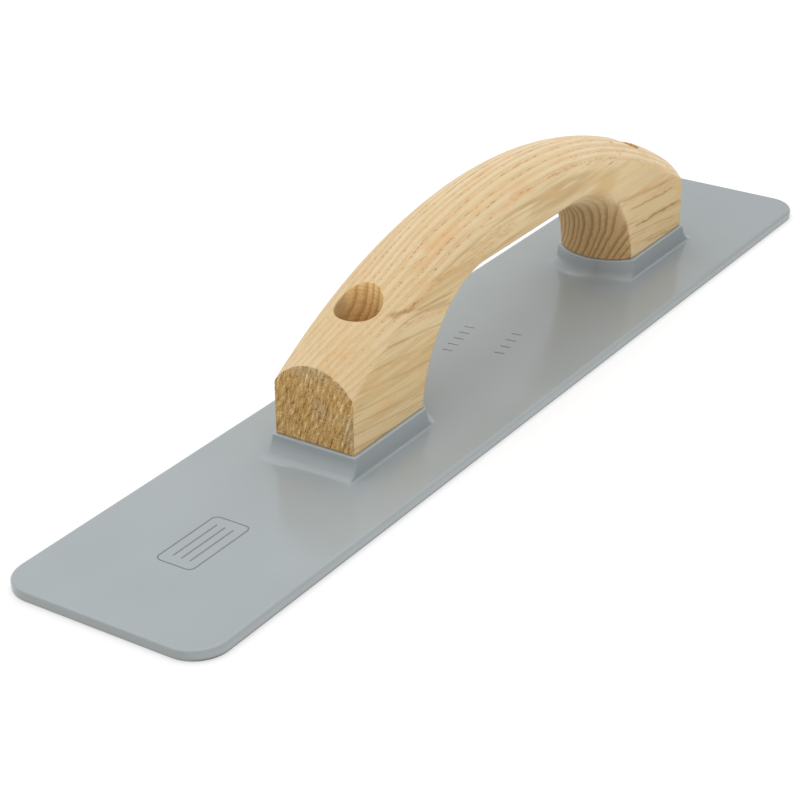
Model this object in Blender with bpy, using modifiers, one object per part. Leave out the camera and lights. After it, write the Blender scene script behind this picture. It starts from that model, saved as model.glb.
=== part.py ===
"""Cast magnesium hand float with a bowed wooden handle.

Frame: the origin is the middle of the flat sole, +X runs along the blade from its toe to its heel,
and +Z points up through the handle. Lengths are in metres.
"""

import math

import bmesh
import bpy
from mathutils import Matrix, Vector

# Blade
BLADE_LENGTH = 0.4064
BLADE_WIDTH = 0.0794
BLADE_THICKNESS = 0.0040
BLADE_CORNER_RADIUS = 0.0120
BLADE_EDGE_RADIUS = 0.0005

# Handle: a block cut by an arched top and an arched grip opening, both with a rounded cap across them
HANDLE_CENTRE_X = 0.0232
HANDLE_LENGTH = 0.2318
HANDLE_WIDTH = 0.0312
HANDLE_TOP_Z = 0.0713
HANDLE_ARCH_RADIUS = 0.2260
CAP_RADIUS = 0.0200
GRIP_UNDERSIDE_Z = 0.0441
GRIP_CORNER_RADIUS = 0.0364
GRIP_OPENING_LENGTH = 0.1346

# Rounding of the long edges, from the square feet to the sanded middle of the grip
FOOT_EDGE_RADIUS = 0.0016
GRIP_EDGE_RADIUS = 0.0085
GRIP_SHARE = 0.15  # share of each half of the handle that has the full grip rounding
BLEND_SHARE = 0.65  # share over which that rounding fades into the square foot

# Cast bosses
BOSS_TOP_Z = 0.0115
BOSS_RIM = 0.0010
BOSS_RIM_ROUNDING = 0.0005
BOSS_SIDE_DRAFT = 0.0008
BOSS_END_DRAFT = 0.0012
BOSS_END_FILLET = 0.0055
BOSS_FILLET_END_ANGLE = math.radians(20.0)
BOSS_CORNER_RADIUS = 0.0010
BOSS_ROOT_DEPTH = 0.0020

# Screws: 1/4 in pan-head machine screws, 1 in long and about 7 in apart, with flat washers
SCREW_SPACING = 0.1786
SCREW_RADIUS = 0.003175
SCREW_LENGTH = 0.0254
SCREW_TIP_CHAMFER = 0.0008
HEAD_RADIUS = 0.0061
HEAD_HEIGHT = 0.0042
HEAD_CROWN = 0.0014
RECESS_SPAN = 0.0062
RECESS_WIDTH = 0.0013
RECESS_DEPTH = 0.0024
RECESS_FLOOR_SHARE = 0.5  # length of the recess floor as a share of its span
WASHER_OUTER_RADIUS = 0.0077
WASHER_THICKNESS = 0.0016
COUNTERBORE_RADIUS = 0.0081
COUNTERBORE_FLOOR_Z = 0.0270
WOOD_HOLE_RADIUS = 0.0036
TAPPED_FLOOR_Z = 0.0030

GAP = 0.0003

# Mesh fineness
HANDLE_STATIONS = 36
CAP_STEPS = 12
FILLET_STEPS = 4
ROUND_STEPS = 32
CORNER_STEPS = 10
EDGE_STEPS = 2
CROWN_STEPS = 5
CUT_MARGIN = 0.0200
MERGE_DISTANCE = 0.00001
SMOOTH_ANGLE = math.radians(35.0)
BEVEL_ANGLE = math.radians(60.0)

HANDLE_BASE_Z = BOSS_TOP_Z + GAP
HALF_WIDTH = HANDLE_WIDTH / 2
ARCH_CENTRE_Z = HANDLE_TOP_Z - HANDLE_ARCH_RADIUS
SCREW_PLACES = {
    "toe": HANDLE_CENTRE_X - SCREW_SPACING / 2,
    "heel": HANDLE_CENTRE_X + SCREW_SPACING / 2,
}


def clear_scene():
    for old in list(bpy.data.objects):
        bpy.data.objects.remove(old, do_unlink=True)


def new_collection(name):
    collection = bpy.data.collections.new(name)
    bpy.context.scene.collection.children.link(collection)
    return collection


def new_material(name, colour, roughness, metallic):
    material = bpy.data.materials.new(name)
    material.use_nodes = True
    shader = material.node_tree.nodes["Principled BSDF"]
    shader.inputs["Base Color"].default_value = (*colour, 1.0)
    shader.inputs["Roughness"].default_value = roughness
    shader.inputs["Metallic"].default_value = metallic
    return material


def object_from_bmesh(name, mesh_builder, collection, material=None):
    bmesh.ops.recalc_face_normals(mesh_builder, faces=mesh_builder.faces)
    mesh = bpy.data.meshes.new(name)
    mesh_builder.to_mesh(mesh)
    mesh_builder.free()
    made = bpy.data.objects.new(name, mesh)
    collection.objects.link(made)
    if material:
        mesh.materials.append(material)
        mesh.shade_smooth()
        mesh.set_sharp_from_angle(angle=SMOOTH_ANGLE)
    else:
        made.hide_render = True
        made.display_type = "WIRE"
    return made


def boolean(target, cutter, operation):
    modifier = target.modifiers.new(cutter.name, "BOOLEAN")
    modifier.operation = operation
    modifier.solver = "EXACT"
    modifier.object = cutter


def box_bmesh(low, high):
    size = Vector(high) - Vector(low)
    middle = (Vector(high) + Vector(low)) / 2
    built = bmesh.new()
    bmesh.ops.create_cube(built, size=1.0)
    bmesh.ops.scale(built, vec=size, verts=built.verts)
    bmesh.ops.translate(built, vec=middle, verts=built.verts)
    return built


def cylinder_cutter(name, radius, x, low_z, high_z, collection):
    built = bmesh.new()
    bmesh.ops.create_cone(
        built,
        cap_ends=True,
        segments=ROUND_STEPS,
        radius1=radius,
        radius2=radius,
        depth=high_z - low_z,
    )
    bmesh.ops.translate(built, vec=(x, 0.0, (low_z + high_z) / 2), verts=built.verts)
    return object_from_bmesh(name, built, collection)


def cap_profile(half_width, radius, edge_radius, steps):
    """Points (across, height) of a rounded cap, from -half_width to +half_width.

    The height is measured down from the crown, so it is zero or negative. The cap is an arc whose two
    ends turn into the flat sides through arcs of edge_radius.
    """
    turn = math.asin((half_width - edge_radius) / (radius - edge_radius))
    edge_height = math.sqrt((radius - edge_radius) ** 2 - (half_width - edge_radius) ** 2) - radius
    angles = [turn * (2.0 * i / steps - 1.0) for i in range(steps + 1)]
    points = [(radius * math.sin(a), radius * math.cos(a) - radius) for a in angles]
    edge = []
    for i in range(1, FILLET_STEPS + 1):
        angle = turn + (math.pi / 2 - turn) * i / FILLET_STEPS
        across = half_width - edge_radius + edge_radius * math.sin(angle)
        edge.append((across, edge_height + edge_radius * math.cos(angle)))
    start = [(-across, height) for across, height in reversed(edge)]
    return start + points + edge


def loft(sections):
    """A closed body through rings with equal numbers of points."""
    built = bmesh.new()
    rings = [[built.verts.new(point) for point in section] for section in sections]
    count = len(rings[0])
    for ring, following in zip(rings, rings[1:]):
        for i in range(count):
            j = (i + 1) % count
            built.faces.new((ring[i], ring[j], following[j], following[i]))
    built.faces.new(list(reversed(rings[0])))
    built.faces.new(rings[-1])
    return built


def smoothstep(value):
    value = min(max(value, 0.0), 1.0)
    return value * value * (3.0 - 2.0 * value)


def grip_opening_point(position):
    """Point (x, z) and normal of the opening's crown line, at a position from -1 at the toe to 1."""
    half_straight = GRIP_OPENING_LENGTH / 2 - GRIP_CORNER_RADIUS
    corner_z = GRIP_UNDERSIDE_Z - GRIP_CORNER_RADIUS
    leg = corner_z - (HANDLE_BASE_Z - CUT_MARGIN)
    quarter = GRIP_CORNER_RADIUS * math.pi / 2
    travelled = abs(position) * (half_straight + quarter + leg)
    side = math.copysign(1.0, position)
    if travelled <= half_straight:
        return side * travelled, GRIP_UNDERSIDE_Z, 0.0, -1.0
    angle = min((travelled - half_straight) / GRIP_CORNER_RADIUS, math.pi / 2)
    drop = max(travelled - half_straight - quarter, 0.0)
    x = half_straight + GRIP_CORNER_RADIUS * math.sin(angle)
    z = corner_z + GRIP_CORNER_RADIUS * math.cos(angle) - drop
    return side * x, z, -side * math.sin(angle), -math.cos(angle)


def arch_point(position):
    """Point (x, z) and normal of the handle's outer crown line, at a position from -1 to 1."""
    end_angle = math.asin((HANDLE_LENGTH / 2 + 2 * CUT_MARGIN) / HANDLE_ARCH_RADIUS)
    angle = position * end_angle
    x = HANDLE_ARCH_RADIUS * math.sin(angle)
    z = ARCH_CENTRE_Z + HANDLE_ARCH_RADIUS * math.cos(angle)
    return x, z, math.sin(angle), math.cos(angle)


def handle_section(position):
    """One ring round the handle: the outer cap from -Y to +Y, then the grip cap back again."""
    middle = 1.0 - smoothstep((abs(position) - GRIP_SHARE) / BLEND_SHARE)
    edge_radius = FOOT_EDGE_RADIUS + (GRIP_EDGE_RADIUS - FOOT_EDGE_RADIUS) * middle
    cap = cap_profile(HALF_WIDTH, CAP_RADIUS, edge_radius, CAP_STEPS)
    ring = []
    for (x, z, nx, nz), points in (
        (arch_point(position), cap),
        (grip_opening_point(position), list(reversed(cap))),
    ):
        for across, height in points:
            ring.append((HANDLE_CENTRE_X + x + nx * height, across, z + nz * height))
    return ring


def build_handle(collection, cutters, material):
    positions = [2.0 * i / HANDLE_STATIONS - 1.0 for i in range(HANDLE_STATIONS + 1)]
    built = loft([handle_section(position) for position in positions])
    handle = object_from_bmesh("handle", built, collection, material)

    half_length = HANDLE_LENGTH / 2
    low = (HANDLE_CENTRE_X - half_length, -HANDLE_WIDTH, HANDLE_BASE_Z)
    high = (HANDLE_CENTRE_X + half_length, HANDLE_WIDTH, HANDLE_TOP_Z + CUT_MARGIN)
    blank = object_from_bmesh("handle_blank_box", box_bmesh(low, high), cutters)
    boolean(handle, blank, "INTERSECT")

    for end, x in SCREW_PLACES.items():
        top = HANDLE_TOP_Z + CUT_MARGIN
        counterbore = cylinder_cutter(
            f"{end}_counterbore", COUNTERBORE_RADIUS, x, COUNTERBORE_FLOOR_Z, top, cutters
        )
        hole = cylinder_cutter(f"{end}_wood_hole", WOOD_HOLE_RADIUS, x, 0.0, top, cutters)
        boolean(handle, counterbore, "DIFFERENCE")
        boolean(handle, hole, "DIFFERENCE")
    return handle


def foot_outline(end_offset, side_offset, inner_offset, z, direction):
    """Outline of a handle foot grown by three offsets, as a ring at height z.

    direction is -1 for the toe foot and 1 for the heel foot. The outer end is square, and the inner
    end is the same rounded cap that runs round the grip opening.
    """
    half_width = HALF_WIDTH + side_offset
    cap = cap_profile(half_width, CAP_RADIUS + inner_offset, BOSS_CORNER_RADIUS, CAP_STEPS)
    inner_x = GRIP_OPENING_LENGTH / 2 - inner_offset
    outer_x = HANDLE_LENGTH / 2 + end_offset
    ring = [(inner_x - height, across) for across, height in cap]
    for side in (1.0, -1.0):
        corner = []
        for i in range(FILLET_STEPS + 1):
            angle = math.pi / 2 * i / FILLET_STEPS
            x = outer_x - BOSS_CORNER_RADIUS * (1.0 - math.sin(angle))
            y = half_width - BOSS_CORNER_RADIUS * (1.0 - math.cos(angle))
            corner.append((x, side * y))
        ring.extend(corner if side > 0 else reversed(corner))
    return [(HANDLE_CENTRE_X + direction * x, y, z) for x, y in ring]


def boss_levels():
    """Offsets (end, side, inner) and height of the boss's outlines, from its root to its rim."""
    end_angle = BOSS_FILLET_END_ANGLE
    fillet_base = BLADE_THICKNESS - BOSS_END_FILLET * (1.0 - math.cos(end_angle))
    fillet_top = fillet_base + BOSS_END_FILLET
    wall_height = BOSS_TOP_Z - BLADE_THICKNESS
    levels = []
    for i in range(FILLET_STEPS + 2):
        angle = end_angle + (math.pi / 2 - end_angle) * i / (FILLET_STEPS + 1)
        z = fillet_base + BOSS_END_FILLET * (1.0 - math.cos(angle))
        flare = BOSS_END_FILLET * (1.0 - math.sin(angle))
        depth = (BOSS_TOP_Z - z) / wall_height
        end = BOSS_RIM + BOSS_END_DRAFT * depth + flare
        levels.append((end, BOSS_RIM + BOSS_SIDE_DRAFT * depth, end, z))
    root_end, root_side, _, _ = levels[0]
    levels.insert(0, (root_end, root_side, root_end, BLADE_THICKNESS - BOSS_ROOT_DEPTH))
    rim_z = BOSS_TOP_Z - BOSS_RIM_ROUNDING
    if rim_z > fillet_top:
        levels.append((BOSS_RIM, BOSS_RIM, BOSS_RIM, rim_z))
    top = BOSS_RIM - BOSS_RIM_ROUNDING
    levels.append((top, top, top, BOSS_TOP_Z))
    return levels


def build_blade(collection, cutters, material):
    half_length = BLADE_LENGTH / 2
    half_width = BLADE_WIDTH / 2
    built = box_bmesh((-half_length, -half_width, 0.0), (half_length, half_width, BLADE_THICKNESS))
    upright = [e for e in built.edges if abs(e.verts[0].co.z - e.verts[1].co.z) > GAP]
    bmesh.ops.bevel(
        built,
        geom=upright,
        offset=BLADE_CORNER_RADIUS,
        segments=CORNER_STEPS,
        profile=0.5,
        affect="EDGES",
    )
    blade = object_from_bmesh("blade", built, collection, material)
    edges = blade.modifiers.new("edge_rounding", "BEVEL")
    edges.width = BLADE_EDGE_RADIUS
    edges.segments = EDGE_STEPS
    edges.limit_method = "ANGLE"
    edges.angle_limit = BEVEL_ANGLE

    for end, direction in (("toe", -1.0), ("heel", 1.0)):
        rings = [foot_outline(*offsets, z, direction) for *offsets, z in boss_levels()]
        boss = object_from_bmesh(f"{end}_boss", loft(rings), cutters)
        boolean(blade, boss, "UNION")
    for end, x in SCREW_PLACES.items():
        tapped = cylinder_cutter(
            f"{end}_tapped_hole",
            SCREW_RADIUS + GAP,
            x,
            TAPPED_FLOOR_Z,
            BOSS_TOP_Z + CUT_MARGIN,
            cutters,
        )
        boolean(blade, tapped, "DIFFERENCE")
    return blade


def turned(name, profile, collection, material):
    """A body of revolution about Z from a closed or axis-to-axis profile of (radius, z) points."""
    built = bmesh.new()
    verts = [built.verts.new((radius, 0.0, z)) for radius, z in profile]
    for first, second in zip(verts, verts[1:]):
        built.edges.new((first, second))
    if profile[0][0] > 0.0:
        built.edges.new((verts[-1], verts[0]))
    mesh = bpy.data.meshes.new(name)
    built.to_mesh(mesh)
    built.free()
    mesh.materials.append(material)
    made = bpy.data.objects.new(name, mesh)
    collection.objects.link(made)
    spin = made.modifiers.new("turn", "SCREW")
    spin.steps = ROUND_STEPS
    spin.render_steps = ROUND_STEPS
    spin.use_merge_vertices = True
    spin.merge_threshold = MERGE_DISTANCE
    spin.use_smooth_shade = True
    return made


def washer_profile():
    inner = SCREW_RADIUS + GAP
    return [
        (inner, WASHER_THICKNESS),
        (WASHER_OUTER_RADIUS, WASHER_THICKNESS),
        (WASHER_OUTER_RADIUS, 0.0),
        (inner, 0.0),
    ]


def screw_profile():
    """Half section of the screw, from the crown of the head down the outside to the tip."""
    head_side = HEAD_HEIGHT - HEAD_CROWN
    crown = []
    for i in range(CROWN_STEPS + 1):
        angle = math.pi / 2 * i / CROWN_STEPS
        crown.append((HEAD_RADIUS * math.sin(angle), head_side + HEAD_CROWN * math.cos(angle)))
    crown[0] = (0.0, HEAD_HEIGHT)
    return crown + [
        (HEAD_RADIUS, 0.0),
        (SCREW_RADIUS, 0.0),
        (SCREW_RADIUS, -SCREW_LENGTH + SCREW_TIP_CHAMFER),
        (SCREW_RADIUS - SCREW_TIP_CHAMFER, -SCREW_LENGTH),
        (0.0, -SCREW_LENGTH),
    ]


def cut_driver_recess(screw, end, place, cutters):
    """Cuts a plus-shaped driver recess into the head, as two crossed slots with tapered floors."""
    for direction, turn in (("along", 0.0), ("across", math.pi / 2)):
        built = bmesh.new()
        bmesh.ops.create_cube(built, size=1.0)
        size = (RECESS_SPAN, RECESS_WIDTH, 2.0 * RECESS_DEPTH)
        bmesh.ops.scale(built, vec=size, verts=built.verts)
        for vert in built.verts:
            if vert.co.z < 0.0:
                vert.co.x *= RECESS_FLOOR_SHARE
        bmesh.ops.rotate(built, matrix=Matrix.Rotation(turn, 3, "Z"), verts=built.verts)
        slot = object_from_bmesh(f"{end}_recess_{direction}", built, cutters)
        slot.location = place
        boolean(screw, slot, "DIFFERENCE")


def build_fasteners(collection, cutters, screw_material, washer_material):
    washer_z = COUNTERBORE_FLOOR_Z + GAP
    head_z = washer_z + WASHER_THICKNESS + GAP
    for end, x in SCREW_PLACES.items():
        washer = turned(f"{end}_washer", washer_profile(), collection, washer_material)
        washer.location = (x, 0.0, washer_z)
        screw = turned(f"{end}_handle_screw", screw_profile(), collection, screw_material)
        screw.location = (x, 0.0, head_z)
        cut_driver_recess(screw, end, (x, 0.0, head_z + HEAD_HEIGHT), cutters)


def main():
    clear_scene()
    parts = new_collection("hand_float")
    cutters = new_collection("cutters")
    grey_paint = new_material("grey_paint", (0.36, 0.39, 0.41), 0.40, 0.0)
    ash_wood = new_material("ash_wood", (0.66, 0.46, 0.26), 0.60, 0.0)
    zinc_steel = new_material("zinc_steel", (0.62, 0.63, 0.64), 0.30, 1.0)
    build_blade(parts, cutters, grey_paint)
    build_handle(parts, cutters, ash_wood)
    build_fasteners(parts, cutters, zinc_steel, zinc_steel)


main()
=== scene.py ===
"""Looks of the cast magnesium hand float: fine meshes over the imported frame, materials, light and camera.

Shape numbers are millimetres in the row frame: the origin is the middle of the sole, +X runs from the
toe to the heel and +Z up through the handle.
"""

import math

import bmesh
import bpy
import numpy as np
from mathutils import Matrix, Vector
from mathutils.geometry import delaunay_2d_cdt


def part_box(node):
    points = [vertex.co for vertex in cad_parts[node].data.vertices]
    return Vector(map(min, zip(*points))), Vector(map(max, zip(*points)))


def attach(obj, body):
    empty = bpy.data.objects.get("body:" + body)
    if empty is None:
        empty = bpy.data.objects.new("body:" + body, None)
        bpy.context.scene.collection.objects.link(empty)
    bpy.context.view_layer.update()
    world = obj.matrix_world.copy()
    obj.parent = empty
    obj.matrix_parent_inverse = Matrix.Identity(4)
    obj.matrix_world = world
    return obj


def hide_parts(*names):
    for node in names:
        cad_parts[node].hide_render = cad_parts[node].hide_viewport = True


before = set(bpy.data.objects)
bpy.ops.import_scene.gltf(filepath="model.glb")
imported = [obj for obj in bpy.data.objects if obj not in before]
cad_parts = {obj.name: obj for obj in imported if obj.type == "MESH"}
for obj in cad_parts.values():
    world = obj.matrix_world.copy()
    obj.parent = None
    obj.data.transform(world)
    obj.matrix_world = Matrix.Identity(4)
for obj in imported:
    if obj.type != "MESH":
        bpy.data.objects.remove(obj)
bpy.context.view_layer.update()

MM = 0.001
MERGE_MM = 0.001

# Blade
BLADE_LOW, BLADE_HIGH = (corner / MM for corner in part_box("blade"))
HALF_LENGTH = (BLADE_HIGH.x - BLADE_LOW.x) / 2
HALF_BLADE_WIDTH = (BLADE_HIGH.y - BLADE_LOW.y) / 2
PLATE_TOP = 4.0
CORNER_RADIUS = 12.0
END_EDGE_RADIUS = 0.5
LONG_EDGE_RADIUS = 1.4
BOTTOM_EDGE_RADIUS = 1.0
BOTTOM_EDGE_TOP = 1.8
FLAT_MARGIN = 0.4

# Plain marks cast in the plate: a frame with three lines near the toe, and two rows of bars
GROOVE_DEPTH = 0.25
GROOVE_WIDTH = 0.7
FRAME_X = -152.0
FRAME_LENGTH = 31.0
FRAME_WIDTH = 14.6
FRAME_CORNER = 2.5
LINE_LENGTH = 22.0
LINE_GAP = 3.2
BAR_LENGTH = 4.2
BAR_ANGLE = 99.5
# Each row of bars: count, first bar's x and y, step in x and y
BAR_ROWS = ((5, 4.0, 9.6, 5.2, 0.87), (4, 12.0, -7.6, 5.6, 0.94))

# Bosses
BOSS_TOP = BLADE_HIGH.z
BOSS_RIM = 1.0
RIM_ROUNDING = 0.45
SIDE_DRAFT = 0.9
END_DRAFT = 1.3
SIDE_FILLET = 0.8
END_FILLET = 5.6
INNER_FILLET = 3.2
BOSS_CORNER = 1.0
CORNER_GROWTH = 0.6

# Handle
HANDLE_LOW, HANDLE_HIGH = (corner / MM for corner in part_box("handle"))
CENTRE_X = (HANDLE_LOW.x + HANDLE_HIGH.x) / 2
HALF_HANDLE = (HANDLE_HIGH.x - HANDLE_LOW.x) / 2
HALF_WIDTH = (HANDLE_HIGH.y - HANDLE_LOW.y) / 2
# the feet sink a little into the bosses, so that no gap shows
BASE_Z = HANDLE_LOW.z - 0.2
TOP_Z = HANDLE_HIGH.z
ARCH_RADIUS = 226.0
ARCH_CENTRE_Z = TOP_Z - ARCH_RADIUS
CAP_RADIUS = 20.0
GRIP_Z = 44.1
GRIP_CORNER = 36.4
OPENING_HALF = 67.3
GRIP_STRAIGHT = OPENING_HALF - GRIP_CORNER
GRIP_CENTRE_Z = GRIP_Z - GRIP_CORNER
FOOT_EDGE = 1.6
GRIP_EDGE = 8.5
GRIP_SHARE = 0.15
BLEND_SHARE = 0.65
# the rounding of the long edges is spread over curves that pass the handle's ends by a margin
CUT_MARGIN = 20.0
ARCH_REACH = math.asin((HALF_HANDLE + 2 * CUT_MARGIN) / ARCH_RADIUS)
OPENING_REACH = GRIP_STRAIGHT + GRIP_CORNER * math.pi / 2 + GRIP_CENTRE_Z - (BASE_Z - CUT_MARGIN)
ARRIS = 0.35

# Fasteners
SCREWS = {end: sum(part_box(f"{end}_handle_screw"), Vector()) / 2 / MM for end in ("toe", "heel")}
COUNTERBORE_RADIUS = 8.1
COUNTERBORE_FLOOR = 27.0
WOOD_HOLE_RADIUS = 3.6
WOOD_HOLE_MOUTH = WOOD_HOLE_RADIUS + 0.2
TAPPED_RADIUS = 3.475
TAPPED_FLOOR = 3.0
TAPPED_CHAMFER = 0.4

# Mesh fineness
CAP_STEPS = 28
EDGE_STEPS = 6
SIDE_STEPS = 18
CORNER_COLUMN = 7
HALF_RINGS = 78
BEND_RINGS = 24
ROUND_STEPS = 72
LINE_STEPS = 20
BAR_END_STEPS = 7
BOSS_SIDE_STEPS = 16
PLATE_SIDE_STEPS = (76, 12, 76, 12)
PLATE_PITCH = 6.0
BOSS_PITCH = 4.0
END_PITCH = 2.0
CLEARANCE = 0.8
FACE_INSET = 1.2
SMOOTH_ANGLE = math.radians(40.0)
SHARP_ANGLE = math.radians(48.0)
# half the side of the patch in the handle's mesh that holds a counterbore
WINDOW = 10.9


def quarter_turn(steps):
    """Angles from 0 to 90 degrees."""
    return [math.pi / 2 * i / steps for i in range(steps + 1)]


def smoothstep(value):
    value = min(max(value, 0.0), 1.0)
    return value * value * (3.0 - 2.0 * value)


# ---- mesh building


class Shell:
    """Collects faces in millimetres, then welds them into one closed mesh."""

    def __init__(self):
        self.points = []
        self.faces = []
        self.slots = []

    def add(self, points):
        start = len(self.points)
        self.points.extend(tuple(point) for point in points)
        return list(range(start, start + len(points)))

    def face(self, indices, slot=0):
        self.faces.append(tuple(indices))
        self.slots.append(slot)

    def grid(self, rows, slot=0, skip=None):
        """Quads between rows of points. Each row's last point joins its first."""
        indices = [self.add(row) for row in rows]
        count = len(rows[0])
        for i in range(len(rows) - 1):
            for j in range(count):
                if skip and skip(i, j):
                    continue
                k = (j + 1) % count
                self.face((indices[i][j], indices[i][k], indices[i + 1][k], indices[i + 1][j]), slot)

    def patch(self, outer, holes, inner, lift, slot=0):
        """Triangles of a region given by flat loops, raised by lift(x, y) to points in space."""
        loops = [np.array(loop, float) for loop in (outer, *holes)]
        edges = []
        start = 0
        for loop in loops:
            count = len(loop)
            edges.extend((start + i, start + (i + 1) % count) for i in range(count))
            start += count
        flat = [Vector(point) for loop in loops for point in loop]
        flat.extend(Vector(point) for point in keep_clear(inner, loops))
        verts, _, faces, *_ = delaunay_2d_cdt(flat, edges, [], 0, 1e-5)
        corners = np.array([[tuple(verts[i]) for i in face] for face in faces])
        middles = corners.mean(axis=1)
        wanted = inside(middles, loops[0])
        for hole in loops[1:]:
            wanted &= ~inside(middles, hole)
        indices = self.add([lift(vert.x, vert.y) for vert in verts])
        for face, keep in zip(faces, wanted):
            if keep:
                self.face([indices[i] for i in face], slot)

    def finish(self, name, materials):
        mesh = bpy.data.meshes.new(name)
        mesh.from_pydata([Vector(point) * MM for point in self.points], [], self.faces)
        for material in materials:
            mesh.materials.append(material)
        mesh.polygons.foreach_set("material_index", self.slots)
        built = bmesh.new()
        built.from_mesh(mesh)
        bmesh.ops.remove_doubles(built, verts=built.verts, dist=MERGE_MM * MM)
        loose = [vert for vert in built.verts if not vert.link_faces]
        bmesh.ops.delete(built, geom=loose, context="VERTS")
        bmesh.ops.recalc_face_normals(built, faces=built.faces)
        built.to_mesh(mesh)
        built.free()
        made = bpy.data.objects.new(name, mesh)
        bpy.context.scene.collection.objects.link(made)
        mesh.shade_smooth()
        mesh.set_sharp_from_angle(angle=SMOOTH_ANGLE)
        return made


def inside(points, loop):
    """Which flat points lie inside a closed loop."""
    ends = np.roll(loop, -1, axis=0)
    x, y = points[:, 0:1], points[:, 1:2]
    above = (loop[:, 1] > y) != (ends[:, 1] > y)
    rise = np.where(ends[:, 1] == loop[:, 1], 1e-12, ends[:, 1] - loop[:, 1])
    crossing = loop[:, 0] + (y - loop[:, 1]) * (ends[:, 0] - loop[:, 0]) / rise
    return (above & (x < crossing)).sum(axis=1) % 2 == 1


def keep_clear(points, loops):
    """The points inside the first loop and outside the rest, not too near any of them."""
    points = np.array(points, float).reshape(-1, 2)
    if not len(points):
        return points
    keep = inside(points, loops[0])
    for loop in loops[1:]:
        keep &= ~inside(points, loop)
    for loop in loops:
        ends = np.roll(loop, -1, axis=0)
        for start, end in zip(loop, ends):
            along = end - start
            length = max(float(along @ along), 1e-12)
            share = np.clip(((points - start) @ along) / length, 0.0, 1.0)
            gap = np.linalg.norm(points - start - share[:, None] * along, axis=1)
            keep &= gap > CLEARANCE
    return points[keep]


def lattice(low, high, pitch):
    """Staggered rows of points that fill a rectangle."""
    points = []
    y = low[1]
    row = 0
    while y <= high[1]:
        x = low[0] + (pitch / 2 if row % 2 else 0.0)
        while x <= high[0]:
            points.append((x, y))
            x += pitch
        y += pitch * math.sqrt(3.0) / 2
        row += 1
    return points


def circle(x, radius):
    """A circle round a screw's axis."""
    angles = [2 * math.pi * i / ROUND_STEPS for i in range(ROUND_STEPS)]
    return [(x + radius * math.cos(a), radius * math.sin(a)) for a in angles]


def raised(loop, z):
    return [(x, y, z) for x, y in loop]


# ---- handle


def cap_profile(half_width, radius, edge_radius, steps=CAP_STEPS, edge_steps=EDGE_STEPS):
    """Points (across, height) of a rounded cap whose ends turn into flat sides through small arcs."""
    turn = math.asin((half_width - edge_radius) / (radius - edge_radius))
    drop = math.sqrt((radius - edge_radius) ** 2 - (half_width - edge_radius) ** 2) - radius
    angles = [turn * (2.0 * i / steps - 1.0) for i in range(steps + 1)]
    points = [(radius * math.sin(a), radius * math.cos(a) - radius) for a in angles]
    edge = []
    for i in range(1, edge_steps + 1):
        angle = turn + (math.pi / 2 - turn) * i / edge_steps
        across = half_width - edge_radius + edge_radius * math.sin(angle)
        edge.append((across, drop + edge_radius * math.cos(angle)))
    start = [(-across, height) for across, height in reversed(edge)]
    return start + points + edge


def edge_radius(position):
    middle = 1.0 - smoothstep((position - GRIP_SHARE) / BLEND_SHARE)
    return FOOT_EDGE + (GRIP_EDGE - FOOT_EDGE) * middle


def outer_line(share):
    """The outer cap's points at a share of the way from the end (0) to the middle (1), for +X."""
    crown_angle = math.asin(HALF_HANDLE / ARCH_RADIUS) * (1.0 - share)
    points = []
    for across, height in cap_profile(HALF_WIDTH, CAP_RADIUS, edge_radius(crown_angle / ARCH_REACH)):
        radius = ARCH_RADIUS + height
        angle = math.asin(HALF_HANDLE / radius) * (1.0 - share)
        points.append((radius * math.sin(angle), across, ARCH_CENTRE_Z + radius * math.cos(angle)))
    return points


def inner_line(travelled):
    """The grip opening's points at a distance from the middle along its crown line, for +X."""
    crown_turn = math.acos((BASE_Z - GRIP_CENTRE_Z) / GRIP_CORNER)
    turned = max(travelled - GRIP_STRAIGHT, 0.0) / GRIP_CORNER / crown_turn
    points = []
    for across, height in cap_profile(HALF_WIDTH, CAP_RADIUS, edge_radius(travelled / OPENING_REACH)):
        radius = GRIP_CORNER - height
        angle = math.acos((BASE_Z - GRIP_CENTRE_Z) / radius) * turned
        x = min(travelled, GRIP_STRAIGHT) + radius * math.sin(angle)
        points.append((x, across, GRIP_CENTRE_Z + radius * math.cos(angle)))
    return points


def between(start, end, steps):
    """Points strictly between two points."""
    start, end = np.array(start), np.array(end)
    return [tuple(start + (end - start) * i / steps) for i in range(1, steps)]


def handle_rings():
    """Rings round the handle from its +X end to the middle, in the handle's own half."""
    crown_turn = math.acos((BASE_Z - GRIP_CENTRE_Z) / GRIP_CORNER)
    opening = GRIP_STRAIGHT + GRIP_CORNER * crown_turn
    rings = []
    bend = []
    for i in range(HALF_RINGS + 1):
        share = i / HALF_RINGS
        x = HALF_HANDLE * (1.0 - share)
        if x > GRIP_STRAIGHT:
            travelled = GRIP_STRAIGHT + (x - GRIP_STRAIGHT) * (opening - GRIP_STRAIGHT) / (
                HALF_HANDLE - GRIP_STRAIGHT
            )
        else:
            travelled = x
        outer = outer_line(share)
        inner = list(reversed(inner_line(travelled)))
        sides = []
        for number, (start, end) in enumerate(((outer[-1], inner[0]), (inner[-1], outer[0]))):
            line = between(start, end, SIDE_STEPS)
            if i == 0:
                corner = (HALF_HANDLE, start[1], BASE_Z)
                if number == 0:
                    down = between(start, corner, CORNER_COLUMN)
                    back = between(corner, end, SIDE_STEPS - CORNER_COLUMN)
                else:
                    down = between(start, corner, SIDE_STEPS - CORNER_COLUMN)
                    back = between(corner, end, CORNER_COLUMN)
                square = down + [corner] + back
                bend.append(np.array(square) - np.array(line))
                line = square
            else:
                fade = max(1.0 - i / BEND_RINGS, 0.0)
                line = [tuple(p) for p in np.array(line) + bend[number] * fade]
            sides.append(line)
        rings.append(outer + sides[0] + inner + sides[1])
    return rings


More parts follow.
